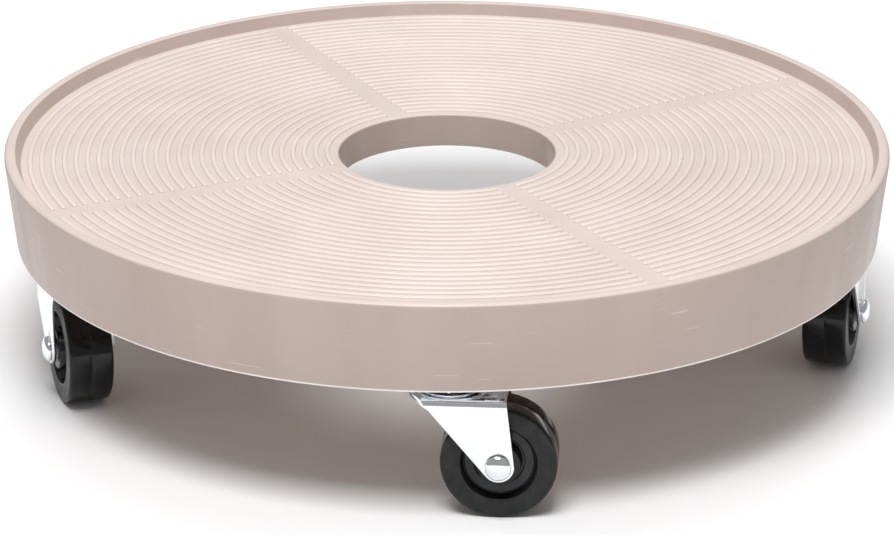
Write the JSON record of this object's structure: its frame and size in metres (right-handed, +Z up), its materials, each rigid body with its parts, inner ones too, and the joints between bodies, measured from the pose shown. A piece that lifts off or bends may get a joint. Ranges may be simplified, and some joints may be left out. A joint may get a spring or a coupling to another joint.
{
  "type": "plant pot caddy",
  "caption": "Round moulded resin plant pot caddy with a shallow lipped tray, a central drain hole and swivelling plate casters under its rim.",
  "frame": {"origin": "on the floor, below the middle of the disc", "axes": "+Z up; -Y towards the front caster; +X to the right of it"},
  "size_m": [0.4064, 0.4064, 0.1049],
  "materials": {
    "resin": "matte, faintly mottled moulded resin",
    "zinc_steel": "bright zinc plating on pressed sheet",
    "screw_steel": "zinc plated",
    "sleeve_steel": "plain turned steel",
    "black_polymer": "glossy hard black polymer"
  },
  "bodies": {
    "platform": {"deck": "resin", "front_mount_plate": "zinc_steel", "front_kingpin": "zinc_steel", "front_screw_1": "screw_steel", "front_screw_2": "screw_steel", "front_screw_3": "screw_steel", "front_screw_4": "screw_steel", "right_mount_plate": "zinc_steel", "right_kingpin": "zinc_steel", "right_screw_1": "screw_steel", "right_screw_2": "screw_steel", "right_screw_3": "screw_steel", "right_screw_4": "screw_steel", "rear_right_mount_plate": "zinc_steel", "rear_right_kingpin": "zinc_steel", "rear_right_screw_1": "screw_steel", "rear_right_screw_2": "screw_steel", "rear_right_screw_3": "screw_steel", "rear_right_screw_4": "screw_steel", "rear_left_mount_plate": "zinc_steel", "rear_left_kingpin": "zinc_steel", "rear_left_screw_1": "screw_steel", "rear_left_screw_2": "screw_steel", "rear_left_screw_3": "screw_steel", "rear_left_screw_4": "screw_steel", "left_mount_plate": "zinc_steel", "left_kingpin": "zinc_steel", "left_screw_1": "screw_steel", "left_screw_2": "screw_steel", "left_screw_3": "screw_steel", "left_screw_4": "screw_steel"},
    "front_swivel": {"front_fork": "zinc_steel", "front_ball_ring": "zinc_steel", "front_axle": "zinc_steel", "front_bushing": "sleeve_steel"},
    "front_roller": {"front_wheel": "black_polymer"},
    "right_swivel": {"right_fork": "zinc_steel", "right_ball_ring": "zinc_steel", "right_axle": "zinc_steel", "right_bushing": "sleeve_steel"},
    "right_roller": {"right_wheel": "black_polymer"},
    "rear_right_swivel": {"rear_right_fork": "zinc_steel", "rear_right_ball_ring": "zinc_steel", "rear_right_axle": "zinc_steel", "rear_right_bushing": "sleeve_steel"},
    "rear_right_roller": {"rear_right_wheel": "black_polymer"},
    "rear_left_swivel": {"rear_left_fork": "zinc_steel", "rear_left_ball_ring": "zinc_steel", "rear_left_axle": "zinc_steel", "rear_left_bushing": "sleeve_steel"},
    "rear_left_roller": {"rear_left_wheel": "black_polymer"},
    "left_swivel": {"left_fork": "zinc_steel", "left_ball_ring": "zinc_steel", "left_axle": "zinc_steel", "left_bushing": "sleeve_steel"},
    "left_roller": {"left_wheel": "black_polymer"}
  },
  "joints": [
    {"name": "front_swivel_turn", "type": "hinge", "parent": "platform", "child": "front_swivel", "pos_m": [0.00154, -0.17699, 0.0564], "axis": [0, 0, 1], "continuous": true},
    {"name": "front_wheel_spin", "type": "hinge", "parent": "front_swivel", "child": "front_roller", "pos_m": [0.0228, -0.17836, 0.0254], "axis": [0.0645, 0.9979, 0], "continuous": true},
    {"name": "right_swivel_turn", "type": "hinge", "parent": "platform", "child": "right_swivel", "pos_m": [0.17403, -0.03225, 0.0564], "axis": [0, 0, 1], "continuous": true},
    {"name": "right_wheel_spin", "type": "hinge", "parent": "right_swivel", "child": "right_roller", "pos_m": [0.179, -0.01154, 0.0254], "axis": [-0.9724, 0.2334, 0], "continuous": true},
    {"name": "rear_right_swivel_turn", "type": "hinge", "parent": "platform", "child": "rear_right_swivel", "pos_m": [0.09683, 0.14816, 0.0564], "axis": [0, 0, 1], "continuous": true},
    {"name": "rear_right_wheel_spin", "type": "hinge", "parent": "rear_right_swivel", "child": "rear_right_roller", "pos_m": [0.10234, 0.12758, 0.0254], "axis": [0.9659, 0.2588, 0], "continuous": true},
    {"name": "rear_left_swivel_turn", "type": "hinge", "parent": "platform", "child": "rear_left_swivel", "pos_m": [-0.0994, 0.14644, 0.0564], "axis": [0, 0, 1], "continuous": true},
    {"name": "rear_left_wheel_spin", "type": "hinge", "parent": "rear_left_swivel", "child": "rear_left_roller", "pos_m": [-0.11309, 0.13013, 0.0254], "axis": [0.766, -0.6428, 0], "continuous": true},
    {"name": "left_swivel_turn", "type": "hinge", "parent": "platform", "child": "left_swivel", "pos_m": [-0.17344, -0.03529, 0.0564], "axis": [0, 0, 1], "continuous": true},
    {"name": "left_wheel_spin", "type": "hinge", "parent": "left_swivel", "child": "left_roller", "pos_m": [-0.16725, -0.05567, 0.0254], "axis": [0.9568, 0.2907, 0], "continuous": true}
  ]
}
